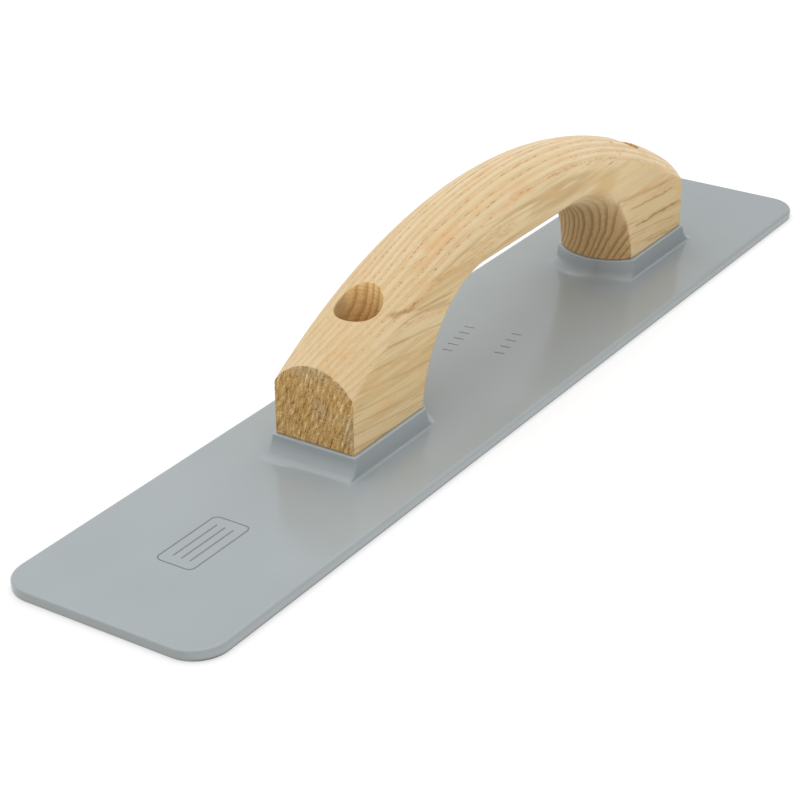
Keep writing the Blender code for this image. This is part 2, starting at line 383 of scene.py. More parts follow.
def cap_height(x, y):
    """Height of the outer cap over a point, with x from the handle's middle."""
    radius = ARCH_RADIUS + math.sqrt(CAP_RADIUS**2 - y**2) - CAP_RADIUS
    return ARCH_CENTRE_Z + math.sqrt(radius**2 - x**2)


def build_handle(material):
    shell = Shell()
    half = handle_rings()
    cap_count = CAP_STEPS + 1 + 2 * EDGE_STEPS
    for side, end in ((-1.0, "toe"), (1.0, "heel")):
        screw_x = abs(SCREWS[end].x - CENTRE_X)
        rings = [[(CENTRE_X + side * x, y, z) for x, y, z in ring] for ring in half]
        columns = [j for j in range(cap_count) if abs(half[0][j][1]) <= WINDOW]
        first, last = columns[0], columns[-1]
        near = [i for i in range(len(half)) if abs(half[i][cap_count // 2][0] - screw_x) <= WINDOW]
        top, bottom = near[0], near[-1]

        def in_window(i, j):
            return top <= i < bottom and first <= j < last

        shell.grid(rings, skip=in_window)

        border = [(top, j) for j in range(first, last)]
        border += [(i, last) for i in range(top, bottom)]
        border += [(bottom, j) for j in range(last, first, -1)]
        border += [(i, first) for i in range(bottom, top, -1)]
        window = [rings[i][j][:2] for i, j in border]

        def lift(x, y):
            return (x, y, cap_height(x - CENTRE_X, y))

        at_x = SCREWS[end].x
        rim = circle(at_x, COUNTERBORE_RADIUS + ARRIS)
        guides = circle(at_x, COUNTERBORE_RADIUS + 1.1) + circle(at_x, COUNTERBORE_RADIUS + 2.0)
        shell.patch(window, [rim], guides, lift)
        shell.grid(counterbore_rows(at_x))
        build_foot_base(shell, rings[0], cap_count, at_x)
        build_end_face(shell, rings[0], cap_count)
    handle = shell.finish("float_handle", [material])
    round_arrises(handle)
    return handle


def counterbore_rows(x):
    """Circles from the counterbore's rim down its wall, across its floor and down the screw hole."""
    rows = []
    for angle in quarter_turn(4):
        radius = COUNTERBORE_RADIUS + ARRIS * (1.0 - math.sin(angle))
        row = []
        for px, py in circle(x, radius):
            rim_x = x + (px - x) * (COUNTERBORE_RADIUS + ARRIS) / radius
            rim_y = py * (COUNTERBORE_RADIUS + ARRIS) / radius
            row.append((px, py, cap_height(rim_x - CENTRE_X, rim_y) - ARRIS * (1.0 - math.cos(angle))))
        rows.append(row)
    wall_top = rows[-1]
    floor_z = COUNTERBORE_FLOOR + ARRIS
    for share in np.linspace(0.0, 1.0, 14)[1:]:
        rows.append([(px, py, z + (floor_z - z) * share) for px, py, z in wall_top])
    rows.append(raised(circle(x, COUNTERBORE_RADIUS - 0.1), COUNTERBORE_FLOOR + 0.1))
    for radius in (COUNTERBORE_RADIUS - ARRIS, 6.5, 5.2, WOOD_HOLE_MOUTH):
        rows.append(raised(circle(x, radius), COUNTERBORE_FLOOR))
    for z in (COUNTERBORE_FLOOR - 0.2, 24.0, 21.0, 18.0, 15.0, BASE_Z + 0.2):
        rows.append(raised(circle(x, WOOD_HOLE_RADIUS), z))
    rows.append(raised(circle(x, WOOD_HOLE_MOUTH), BASE_Z))
    return rows


def foot_loop(ring, cap_count):
    """The foot's outline on its base, from the far corner round the inner cap to the near corner."""
    corner = cap_count + CORNER_COLUMN - 1
    last = len(ring) - CORNER_COLUMN
    return ring[corner : last + 1]


def build_foot_base(shell, ring, cap_count, screw_x):
    line = foot_loop(ring, cap_count)
    across = between(line[-1], line[0], LINE_STEPS)
    loop = [point[:2] for point in line + across]
    inset = shrink(loop, FACE_INSET)
    shell.grid([raised(loop, BASE_Z), raised(inset, BASE_Z)])
    hole = circle(screw_x, WOOD_HOLE_MOUTH)
    shell.patch(inset, [hole], [], lambda x, y: (x, y, BASE_Z))


def build_end_face(shell, ring, cap_count):
    """The flat sawn end: the cap's first line, the two upright corners and the bottom edge."""
    corner = cap_count + CORNER_COLUMN - 1
    last = len(ring) - CORNER_COLUMN
    loop = ring[: corner + 1] + between(ring[corner], ring[last], LINE_STEPS) + ring[last:]
    x = ring[0][0]
    flat = [(y, z) for _, y, z in loop]
    inset = shrink(flat, FACE_INSET)
    shell.grid([[(x, y, z) for y, z in flat], [(x, y, z) for y, z in inset]])
    inner = lattice((-HALF_WIDTH, BASE_Z), (HALF_WIDTH, TOP_Z), END_PITCH)
    shell.patch(inset, [], inner, lambda y, z: (x, y, z))


def shrink(loop, distance):
    """A flat convex loop moved inwards, each point towards the loop's middle line."""
    points = np.array(loop)
    low, high = points.min(axis=0), points.max(axis=0)
    middle = (low + high) / 2
    scale = 1.0 - 2.0 * distance / (high - low)
    return [tuple(middle + (point - middle) * scale) for point in points]


def round_arrises(handle):
    """Breaks the sharp edges of the sawn ends and the feet with a small bevel."""
    mesh = handle.data
    weights = mesh.attributes.new("bevel_weight_edge", "FLOAT", "EDGE")
    built = bmesh.new()
    built.from_mesh(mesh)
    values = []
    for edge in built.edges:
        sharp = len(edge.link_faces) == 2 and edge.calc_face_angle(0.0) > SHARP_ANGLE
        low, high = (vert.co / MM for vert in edge.verts)
        ends = all(abs(abs(co.x - CENTRE_X) - HALF_HANDLE) < MERGE_MM for co in (low, high))
        base = all(abs(co.z - BASE_Z) < MERGE_MM for co in (low, high))
        values.append(1.0 if sharp and (ends or base) else 0.0)
    built.free()
    weights.data.foreach_set("value", values)
    bevel = handle.modifiers.new("arris", "BEVEL")
    bevel.limit_method = "WEIGHT"
    bevel.width = ARRIS * MM
    bevel.segments = 3
    bevel.use_clamp_overlap = False


# ---- blade


def corner_arcs(half_x, half_y, radius, steps):
    """The four quarter circles of a rounded rectangle, anticlockwise from the +X +Y corner."""
    arcs = []
    for number, (sx, sy) in enumerate(((1, 1), (-1, 1), (-1, -1), (1, -1))):
        angles = [math.radians(90.0 * (number + i / steps)) for i in range(steps + 1)]
        x, y = sx * (half_x - radius), sy * (half_y - radius)
        arcs.append([(x + radius * math.cos(a), y + radius * math.sin(a)) for a in angles])
    return arcs


def plate_outline(offset):
    """The plate's rounded rectangle, moved inwards by offset, always with as many points."""
    arcs = corner_arcs(HALF_LENGTH - offset, HALF_BLADE_WIDTH - offset, CORNER_RADIUS - offset, 20)
    loop = []
    for arc, following, steps in zip(arcs, arcs[1:] + arcs[:1], PLATE_SIDE_STEPS):
        loop.extend(arc + between(arc[-1], following[0], steps))
    return loop


def top_edge_row(angle, extra=0.0):
    """A line of the plate's top edge, rounded more along the long sides than at the ends."""
    tight, loose = (edge_line(radius, angle, extra) for radius in (END_EDGE_RADIUS, LONG_EDGE_RADIUS))
    facing = np.array(plate_outline(0.0))[:, 1] - np.array(plate_outline(1.0))[:, 1]
    share = facing[:, None] ** 2
    return [tuple(point) for point in tight * (1.0 - share) + loose * share]


def edge_line(radius, angle, extra):
    offset = radius * (1.0 - math.cos(angle)) + extra
    return np.array(raised(plate_outline(offset), PLATE_TOP - radius * (1.0 - math.sin(angle))))


def boss_outline(inner_offset, end_offset, side_offset, direction):
    """Outline of a boss grown round the foot: square outside, a rounded cap inside."""
    half_width = HALF_WIDTH + side_offset
    corner = BOSS_CORNER + CORNER_GROWTH * (side_offset - BOSS_RIM)
    cap = cap_profile(half_width, CAP_RADIUS + inner_offset, corner, 24, 8)
    inner_x = OPENING_HALF - inner_offset
    outer_x = HALF_HANDLE + end_offset
    ring = [(inner_x - height, across) for across, height in cap]
    start_x = ring[-1][0]
    ring.extend(between((start_x, half_width), (outer_x - corner, half_width), BOSS_SIDE_STEPS))
    for a in quarter_turn(8):
        ring.append((outer_x - corner * (1 - math.sin(a)), half_width - corner * (1 - math.cos(a))))
    ring.extend(between((outer_x, half_width - corner), (outer_x, corner - half_width), BOSS_SIDE_STEPS))
    for a in quarter_turn(8):
        ring.append((outer_x - corner * (1 - math.cos(a)), corner * (1 - math.sin(a)) - half_width))
    ring.extend(between((outer_x - corner, -half_width), (start_x, -half_width), BOSS_SIDE_STEPS))
    return [(CENTRE_X + direction * x, y) for x, y in ring]


def boss_rows(direction):
    """The boss's outlines from the plate, up its fillet and drafted wall, to the rim round the wood."""
    wall = BOSS_TOP - PLATE_TOP
    heights = [SIDE_FILLET * (1.0 - math.cos(angle)) for angle in quarter_turn(8)]
    heights.extend(np.linspace(SIDE_FILLET, END_FILLET, 7)[1:])
    heights.extend(np.linspace(END_FILLET, wall - RIM_ROUNDING, 5)[1:])
    rows = []
    for height in heights:
        depth = 1.0 - height / wall
        side = BOSS_RIM + SIDE_DRAFT * depth + fillet_flare(height, SIDE_FILLET)
        drafted = BOSS_RIM + END_DRAFT * depth
        inner = drafted + fillet_flare(height, INNER_FILLET)
        end = drafted + fillet_flare(height, END_FILLET)
        rows.append((inner, end, side, PLATE_TOP + height))
    base_inner, base_end, base_side, base_z = rows[-1]
    for angle in quarter_turn(6)[1:]:
        inset = RIM_ROUNDING * (1.0 - math.cos(angle))
        lift = RIM_ROUNDING * math.sin(angle)
        rows.append((base_inner - inset, base_end - inset, base_side - inset, base_z + lift))
    inner, end, side, top = rows[-1]
    rows.append((inner - 0.3, end - 0.3, side - 0.3, top))
    return [raised(boss_outline(inner, end, side, direction), z) for inner, end, side, z in rows]


def fillet_flare(height, radius):
    """How far a fillet of a radius, tangent to the plate and the wall, stands out at a height."""
    if height >= radius:
        return 0.0
    return radius - math.sqrt(radius**2 - (radius - height) ** 2)


def bar(x, y, length, width, angle):
    """Outline of a bar with round ends, turned by an angle in degrees."""
    loop = []
    half = (length - width) / 2
    for side in (1.0, -1.0):
        for i in range(BAR_END_STEPS + 1):
            a = -math.pi / 2 + math.pi * i / BAR_END_STEPS
            loop.append((side * (half + width / 2 * math.cos(a)), side * width / 2 * math.sin(a)))
    c, s = math.cos(math.radians(angle)), math.sin(math.radians(angle))
    return [(x + px * c - py * s, y + px * s + py * c) for px, py in loop]


def frame_outline(inset):
    """The frame's rounded rectangle, moved inwards by inset."""
    arcs = corner_arcs(FRAME_LENGTH / 2 - inset, FRAME_WIDTH / 2 - inset, FRAME_CORNER - inset, 10)
    return [(FRAME_X + x, y) for arc in arcs for x, y in arc]


def mark_bars():
    """Each straight groove's x, y, length and angle."""
    bars = [(FRAME_X, y, LINE_LENGTH, 0.0) for y in (LINE_GAP, 0.0, -LINE_GAP)]
    for count, x, y, step_x, step_y in BAR_ROWS:
        bars.extend((x + step_x * i, y + step_y * i, BAR_LENGTH, BAR_ANGLE) for i in range(count))
    return bars


def build_blade(paint, sole, groove):
    shell = Shell()
    points = lattice((-HALF_LENGTH, -HALF_BLADE_WIDTH), (HALF_LENGTH, HALF_BLADE_WIDTH), PLATE_PITCH)
    top_inset = build_edge_and_sole(shell, points)
    holes = [build_boss(shell, SCREWS["toe"].x, -1.0), build_boss(shell, SCREWS["heel"].x, 1.0)]
    bars, frame_outer, frame_inner = build_marks(shell)
    framed = [loop for loop in bars if inside(np.array([loop[0]]), np.array(frame_inner))[0]]
    holes += [loop for loop in bars if loop not in framed] + [frame_outer]
    shell.patch(top_inset, holes, points, lambda x, y: (x, y, PLATE_TOP))
    shell.patch(frame_inner, framed, points, lambda x, y: (x, y, PLATE_TOP))
    return shell.finish("float_blade", [paint, sole, groove])


def build_edge_and_sole(shell, points):
    """The plate's rounded edge and its flat sole. Returns the line where the top face starts."""
    rows = []
    for angle in quarter_turn(5):
        offset = BOTTOM_EDGE_RADIUS * (1.0 - math.sin(angle))
        rows.append(raised(plate_outline(offset), BOTTOM_EDGE_RADIUS * (1.0 - math.cos(angle))))
    rows.append(raised(plate_outline(0.0), BOTTOM_EDGE_TOP))
    rows.extend(top_edge_row(angle) for angle in quarter_turn(8))
    rows.append(top_edge_row(math.pi / 2, FLAT_MARGIN))
    shell.grid(rows)
    sole_inset = plate_outline(BOTTOM_EDGE_RADIUS + FLAT_MARGIN)
    shell.grid([raised(sole_inset, 0.0), rows[0]], slot=1)
    shell.patch(sole_inset, [], points, lambda x, y: (x, y, 0.0), 1)
    return [point[:2] for point in rows[-1]]


def build_boss(shell, at_x, direction):
    """A boss with its tapped blind hole. Returns its outline on the plate."""
    boss = boss_rows(direction)
    skirt = widened(boss[0], 0.5)
    shell.grid([skirt, *boss])
    mouth = circle(at_x, TAPPED_RADIUS + TAPPED_CHAMFER)
    wall = circle(at_x, TAPPED_RADIUS)
    fill = lattice((at_x - 30.0, -20.0), (at_x + 30.0, 20.0), BOSS_PITCH)
    shell.patch([point[:2] for point in boss[-1]], [mouth], fill, lambda x, y: (x, y, BOSS_TOP))
    levels = (BOSS_TOP - TAPPED_CHAMFER, 8.0, 6.0, TAPPED_FLOOR)
    shell.grid([raised(mouth, BOSS_TOP), *(raised(wall, z) for z in levels)], slot=1)
    shell.patch(wall, [], [(at_x, 0.0)], lambda x, y: (x, y, TAPPED_FLOOR), 1)
    return [point[:2] for point in skirt]


def build_marks(shell):
    """The grooves. Returns the straight ones' outlines and the frame's outer and inner ones."""
    floor = PLATE_TOP - GROOVE_DEPTH
    outlines = []
    for x, y, length, angle in mark_bars():
        wide = bar(x, y, length, GROOVE_WIDTH, angle)
        narrow = bar(x, y, length - GROOVE_WIDTH / 2, GROOVE_WIDTH / 2, angle)
        shell.grid([raised(wide, PLATE_TOP), raised(narrow, floor)], slot=2)
        shell.patch(narrow, [], [], lambda x, y: (x, y, floor), 2)
        outlines.append(wide)
    levels = ((0.0, PLATE_TOP), (0.15, floor), (0.45, floor), (0.60, PLATE_TOP))
    shell.grid([raised(frame_outline(inset), z) for inset, z in levels], slot=2)
    return outlines, frame_outline(0.0), frame_outline(0.60)


def widened(row, distance):
    """A closed level loop moved outwards along its own normals."""
    points = np.array(row)
    along = np.roll(points, -1, axis=0) - np.roll(points, 1, axis=0)
    normals = np.stack([along[:, 1], -along[:, 0]], axis=1)
    normals /= np.linalg.norm(normals, axis=1, keepdims=True)
    middle = points[:, :2].mean(axis=0)
    facing = np.sign(((points[:, :2] - middle) * normals).sum(axis=1).sum())
    moved = points.copy()
    moved[:, :2] += normals * facing * distance
    return [tuple(point) for point in moved]


# ---- materials


class Nodes:
    """Short names for building a node tree."""

    def __init__(self, name):
        self.material = bpy.data.materials.new(name)
        self.material.use_nodes = True
        self.tree = self.material.node_tree
        self.shader = self.tree.nodes["Principled BSDF"]

    def node(self, kind, **settings):
        made = self.tree.nodes.new(kind)
        for key, value in settings.items():
            setattr(made, key, value)
        return made

    def link(self, source, target):
        self.tree.links.new(source, target)

    def put(self, socket, value):
        if isinstance(value, bpy.types.NodeSocket):
            self.link(value, socket)
        else:
            socket.default_value = value

    def math(self, operation, first, second=0.0, clamp=False):
        made = self.node("ShaderNodeMath", operation=operation, use_clamp=clamp)
        self.put(made.inputs[0], first)
        self.put(made.inputs[1], second)
        return made.outputs[0]

    def plus(self, first, second):
        return self.math("ADD", first, second)

    def minus(self, first, second):
        return self.math("SUBTRACT", first, second)

    def times(self, first, second):
        return self.math("MULTIPLY", first, second)

    def vector(self, operation, first, second=(0.0, 0.0, 0.0)):
        made = self.node("ShaderNodeVectorMath", operation=operation)
        self.put(made.inputs[0], first)
        self.put(made.inputs["Scale" if operation == "SCALE" else 1], second)
        return made.outputs["Value"] if operation == "LENGTH" else made.outputs[0]

    def stretch(self, vector, factors):
        return self.vector("MULTIPLY", vector, factors)

    def step(self, value, low, high, start=0.0, end=1.0):
        made = self.node("ShaderNodeMapRange", interpolation_type="SMOOTHSTEP")
        self.put(made.inputs["Value"], value)
        for key, number in (("From Min", low), ("From Max", high), ("To Min", start), ("To Max", end)):
            self.put(made.inputs[key], number)
        return made.outputs["Result"]

    def noise(self, vector, scale=1.0, detail=2.0, rough=0.5, colour=False):
        made = self.node("ShaderNodeTexNoise")
        self.put(made.inputs["Vector"], vector)
        self.put(made.inputs["Scale"], scale)
        self.put(made.inputs["Detail"], detail)
        self.put(made.inputs["Roughness"], rough)
        return made.outputs["Color" if colour else "Fac"]

    def voronoi(self, vector):
        made = self.node("ShaderNodeTexVoronoi")
        self.put(made.inputs["Vector"], vector)
        self.put(made.inputs["Scale"], 1.0)
        return made.outputs["Distance"]

    def mix(self, factor, first, second):
        made = self.node("ShaderNodeMix", data_type="RGBA")
        self.put(made.inputs["Factor"], factor)
        self.put(made.inputs["A"], first)
        self.put(made.inputs["B"], second)
        return made.outputs["Result"]

    def place(self):
        """The point on the object in millimetres."""
        where = self.node("ShaderNodeTexCoord").outputs["Object"]
        return self.vector("SCALE", where, 1.0 / MM)

    def split(self, vector):
        made = self.node("ShaderNodeSeparateXYZ")
        self.put(made.inputs[0], vector)
        return made.outputs

    def join(self, x, y, z):
        made = self.node("ShaderNodeCombineXYZ")
        for socket, value in zip(made.inputs, (x, y, z)):
            self.put(socket, value)
        return made.outputs[0]

    def bump(self, height, distance, strength=1.0, normal=None):
        made = self.node("ShaderNodeBump")
        self.put(made.inputs["Height"], height)
        self.put(made.inputs["Distance"], distance)
        self.put(made.inputs["Strength"], strength)
        if normal is not None:
            self.link(normal, made.inputs["Normal"])
        return made.outputs["Normal"]


def colour(red, green, blue):
    """A linear colour from display values."""

    def channel(value):
        value /= 255.0
        return value / 12.92 if value <= 0.04045 else ((value + 0.055) / 1.055) ** 2.4

    return (channel(red), channel(green), channel(blue), 1.0)


# The wood's pith lies beside the handle: its place, its slope against Y and its fall along X
PITH_Y = 41.0
PITH_Z = 49.0
PITH_SLANT = 0.4
PITH_FALL = 0.10
PITH_SWING = 0.010
RING_SPACING = 2.8
SAWN_LEAN = 0.27
# Single grain marks on the -Y side: x, z, length, half thickness, slope in degrees, strength
GRAIN_MARKS = (
    (113.0, 31.4, 46.0, 0.75, -4.4, 0.62),
    (118.0, 23.6, 44.0, 0.80, -2.7, 0.90),
    (121.0, 13.4, 28.0, 0.70, -6.0, 0.45),
    (-60.5, 49.7, 13.0, 1.00, 2.0, 0.72),
    (-55.0, 50.4, 7.0, 0.60, 12.0, 0.55),
    (-44.0, 48.0, 30.0, 0.80, -5.1, 0.52),
    (-45.0, 46.3, 26.0, 0.90, -6.5, 0.45),
    (-66.0, 41.6, 18.0, 0.70, -5.6, 0.22),
)


class Grain:
    """What the wood's surfaces share: rings, pores, fibres, and which way each surface faces."""

    def __init__(self, n):
        self.place = n.place()
        self.x, self.y, self.z = n.split(self.place)
        self.along = n.minus(self.x, CENTRE_X)
        # a slow wander along the grain and a finer shake
        drift = self.wander(n, (0.004, 0.03, 0.03), 5.0)
        shake = self.wander(n, (0.035, 0.30, 0.30), 0.65)
        self.moved = n.vector("ADD", n.vector("ADD", self.place, drift), shake)
        self.find_rings(n)
        self.find_pores(n)
        self.find_faces(n)
        self.fibre = n.noise(n.stretch(self.place, (0.04, 1.3, 1.3)), 1.0, 3.0, 0.6)
        self.grit = n.noise(self.place, 1.8, 3.0, 0.6)

    def wander(self, n, factors, size):
        field = n.noise(n.stretch(self.place, factors), 1.0, 2.0, 0.5, colour=True)
        return n.vector("SCALE", n.vector("SUBTRACT", field, (0.5, 0.5, 0.5)), size)

    def find_rings(self, n):
        """The early and late wood of each ring, and the dark lines between rings."""
        _, y, z = n.split(self.moved)
        from_y = n.plus(n.minus(y, PITH_Y), n.times(self.along, PITH_SWING))
        pith_z = n.minus(n.minus(PITH_Z, n.times(y, PITH_SLANT)), n.times(self.along, PITH_FALL))
        from_z = n.minus(z, pith_z)
        # the rings run straighter above the pith than below it
        from_z = n.minus(from_z, n.times(n.math("MAXIMUM", from_z, 0.0), 0.7))
        radius = n.vector("LENGTH", n.join(from_y, from_z, 0.0))
        uneven = n.times(n.noise(n.join(n.times(radius, 0.13), 0.0, 0.0), 1.0, 1.0), 1.5)
        part = n.math("FRACT", n.plus(n.math("DIVIDE", radius, RING_SPACING), uneven))
        patchy = n.noise(n.stretch(self.place, (0.05, 0.16, 0.16)), 1.0, 2.0)
        near_toe = n.step(self.along, -70.0, -105.0, 1.0, 0.62)
        early = n.times(n.step(part, 0.0, 0.05), n.step(part, 0.16, 0.46, 1.0, 0.0))
        self.early = n.times(early, n.times(n.step(patchy, 0.36, 0.60, 0.8, 1.0), near_toe))
        self.late = n.times(n.step(part, 0.45, 0.95), n.step(part, 0.97, 1.0, 1.0, 0.0))
        self.line = n.times(n.step(part, 0.74, 0.93), n.step(part, 0.95, 1.0, 1.0, 0.0))
        self.end_line = n.times(n.step(part, 0.34, 0.80), n.step(part, 0.88, 1.0, 1.0, 0.0))

    def find_pores(self, n):
        """Pores: long thin vessels along X, crowded into the early wood."""
        vessel = n.voronoi(n.stretch(self.moved, (0.16, 1.5, 1.5)))
        crowd = n.plus(n.times(self.early, 0.34), 0.03)
        self.pore = n.step(n.minus(crowd, vessel), -0.05, 0.06)
        small = n.voronoi(n.stretch(self.moved, (0.26, 3.2, 3.2)))
        small_crowd = n.plus(n.times(self.early, 0.20), 0.08)
        self.small_pore = n.step(n.minus(small_crowd, small), -0.05, 0.08)
        cut = n.voronoi(n.stretch(self.moved, (0.3, 2.0, 2.0)))
        self.end_pore = n.times(n.step(cut, 0.36, 0.08), n.plus(n.times(self.early, 0.7), 0.2))

    def find_faces(self, n):
        """Where the surface cuts across the grain, is a flank, a sawn end or the -Y side."""
        across, aside, up = n.split(n.node("ShaderNodeNewGeometry").outputs["Normal"])
        upward = n.times(n.math("MAXIMUM", up, 0.0), 0.45)
        self.end_grain = n.step(n.minus(n.math("ABSOLUTE", across), upward), 0.14, 0.72)
        self.flank = n.step(n.math("ABSOLUTE", aside), 0.70, 0.98)
        self.sawn = n.step(n.math("ABSOLUTE", self.along), HALF_HANDLE - 0.5, HALF_HANDLE - 0.2)
        self.near_side = n.step(self.y, -9.0, -13.0)


def grain_marks(n, wood):
    """Strength of the single dark marks along the grain, each a ragged spindle."""
    ragged = n.noise(n.join(n.times(wood.x, 0.16), 0.0, n.times(wood.z, 0.5)), 1.0, 3.0, 0.6)
    ragged = n.times(n.minus(ragged, 0.5), 2.6)
    total = 0.0
    for mark_x, mark_z, length, thickness, slope, strength in GRAIN_MARKS:
        c, s = math.cos(math.radians(slope)), math.sin(math.radians(slope))
        dx, dz = n.minus(wood.x, mark_x), n.minus(wood.z, mark_z)
        run = n.plus(n.times(dx, c), n.times(dz, s))
        across = n.minus(n.times(dz, c), n.times(dx, s))
        ends = n.step(n.math("ABSOLUTE", run), length / 2, length / 4, 0.0, strength)
        core = n.step(n.math("ABSOLUTE", n.plus(across, ragged)), thickness, thickness * 0.2)
        total = n.math("MAXIMUM", total, n.times(ends, core))
    return n.times(total, wood.near_side)


def planed_colour(n, wood):
    """Planed faces: pale bands, patches of warmer wood, fibre streaks, ring lines and pores."""

    def by_face(top, flank):
        """One strength on the handle's top and another on its flanks."""
        return n.step(wood.flank, 0.0, 1.0, top, flank)

    broad = n.noise(n.stretch(wood.place, (0.010, 0.07, 0.07)), 1.0, 2.0, 0.5)
    face = n.mix(n.step(broad, 0.35, 0.65), colour(233, 214, 179), colour(228, 206, 165))
    cloud = n.noise(n.stretch(wood.place, (0.035, 0.15, 0.15)), 1.0, 3.0, 0.5)
    face = n.mix(n.times(n.step(cloud, 0.54, 0.70), 0.8), face, colour(230, 190, 144))
    # warmer, darker tones: painted shade towards the toe, where the top slopes away from the light; a
    # warmer patch above the opening's heel end; painted shade on the flanks towards the heel; and a warmer
    # tone on all flanks
    face = n.mix(n.step(wood.along, 20.0, -110.0, 0.0, 0.26), face, colour(206, 168, 108))
    from_bend = n.join(n.times(n.minus(wood.x, 74.0), 0.6), 0.0, n.minus(wood.z, 50.0))
    from_bend = n.plus(n.vector("LENGTH", from_bend), n.times(cloud, 6.0))
    warm = n.times(n.step(from_bend, 11.0, 6.0), wood.near_side)
    face = n.mix(n.times(warm, 0.55), face, colour(206, 164, 108))
    # painted shade: the flanks darker towards the heel, where the light falls off
    heel_flank_shade = n.times(wood.flank, n.step(wood.along, 55.0, 100.0))
    face = n.mix(n.times(heel_flank_shade, 0.36), face, colour(198, 162, 104))
    face = n.mix(n.times(wood.flank, 0.22), face, colour(212, 182, 112))
    # streaks along the grain
    streak = n.noise(n.stretch(wood.moved, (0.014, 0.34, 0.34)), 1.0, 3.0, 0.55)
    streaked = n.times(n.step(streak, 0.50, 0.66), by_face(0.25, 0.48))
    face = n.mix(streaked, face, colour(200, 168, 112))
    flame = n.noise(n.stretch(wood.moved, (0.012, 0.17, 0.21)), 1.0, 2.0, 0.5)
    flamed = n.times(n.step(flame, 0.50, 0.60), by_face(0.0, 0.34))
    flamed = n.times(flamed, n.step(wood.along, 60.0, -10.0, 0.35, 1.0))
    face = n.mix(flamed, face, colour(192, 160, 100))
    face = n.mix(n.times(n.step(wood.fibre, 0.48, 0.74), 0.40), face, colour(212, 180, 128))
    # rings
    face = n.mix(n.times(wood.early, by_face(0.55, 0.24)), face, colour(218, 172, 116))
    face = n.mix(n.times(wood.late, by_face(0.30, 0.10)), face, colour(214, 180, 124))
    breaks = n.noise(n.stretch(wood.place, (0.03, 0.2, 0.2)), 1.0, 2.0)
    lined = n.times(n.times(wood.line, n.step(breaks, 0.36, 0.56, 0.30, 1.0)), by_face(0.27, 0.44))
    face = n.mix(lined, face, colour(176, 136, 74))
    # pores, rare brown flecks and the single marks
    pored = n.times(by_face(0.64, 0.26), n.step(wood.along, 100.0, -20.0, 0.6, 1.0))
    face = n.mix(n.times(wood.pore, pored), face, colour(182, 126, 72))
    face = n.mix(n.times(wood.small_pore, 0.48), face, colour(190, 142, 90))
    fleck = n.noise(n.stretch(wood.moved, (0.040, 0.50, 0.50)), 1.0, 2.0, 0.5)
    face = n.mix(n.times(n.step(fleck, 0.68, 0.76), 0.50), face, colour(146, 104, 54))
    return n.mix(n.times(grain_marks(n, wood), 0.85), face, colour(160, 114, 56))


def end_colour(n, wood):
    """End grain with bold ring lines and open pores, and the drilled walls brightened with painted light.
    """
    face = n.mix(n.step(wood.grit, 0.35, 0.70), colour(206, 172, 124), colour(184, 148, 100))
    face = n.mix(n.times(wood.end_line, 0.62), face, colour(138, 98, 54))
    face = n.mix(n.times(wood.end_pore, 0.35), face, colour(122, 84, 46))
    chatter = n.noise(n.stretch(wood.place, (0.12, 0.12, 1.6)), 1.0, 2.0, 0.6)
    # painted light: the bore walls are made brighter to stand for the light that falls into them, with
    # drill chatter and ring lines on top
    lit_bore_wall = n.mix(n.step(wood.grit, 0.35, 0.70), colour(252, 220, 160), colour(240, 196, 130))
    lit_bore_wall = n.mix(n.times(n.step(chatter, 0.50, 0.66), 0.35), lit_bore_wall, colour(206, 150, 86))
    lit_bore_wall = n.mix(n.times(wood.end_line, 0.46), lit_bore_wall, colour(166, 112, 52))
    return n.mix(drilled_walls(n, wood), face, lit_bore_wall)


def drilled_walls(n, wood):
    """1 on the walls of the counterbores and screw holes, which get the painted light."""
    distance = 1000.0
    for screw in SCREWS.values():
        away = n.vector("LENGTH", n.join(n.minus(wood.x, screw.x), wood.y, 0.0))
        distance = n.math("MINIMUM", distance, away)
    return n.step(distance, COUNTERBORE_RADIUS + 0.5, COUNTERBORE_RADIUS + 0.1, 0.0, 1.0)


def torn_height(n, wood):
    """Relief of the rough sawn ends: torn bundles of fibre that lean with the rings."""
    lean = n.plus(wood.y, n.times(wood.z, SAWN_LEAN))
    torn = n.noise(n.join(n.times(lean, 1.15), n.times(wood.z, 0.30), 0.0), 1.0, 3.0, 0.6)
    crumb = n.noise(n.join(n.times(lean, 2.5), n.times(wood.z, 1.4), 5.0), 1.0, 2.0, 0.6)
    rows = n.noise(n.join(n.times(lean, 0.8), n.times(wood.z, 0.06), 3.0), 1.0, 2.0, 0.6)
    return n.plus(n.plus(n.times(torn, 0.42), n.times(crumb, 0.34)), n.times(rows, 0.24))


def sawn_colour(n, wood, torn):
    tone = n.noise(n.stretch(wood.place, (0.0, 0.09, 0.09)), 1.0, 2.0, 0.5)
    middle = n.mix(n.step(tone, 0.42, 0.70), colour(206, 164, 98), colour(198, 172, 128))
    # the colour follows the torn relief: painted shade in its low parts and a painted highlight on its high
    # parts
    face = n.mix(n.step(torn, 0.39, 0.50), colour(138, 98, 46), middle)
    face = n.mix(n.step(torn, 0.51, 0.63), face, colour(246, 222, 172))
    return n.mix(n.times(wood.end_line, 0.22), face, colour(146, 100, 48))


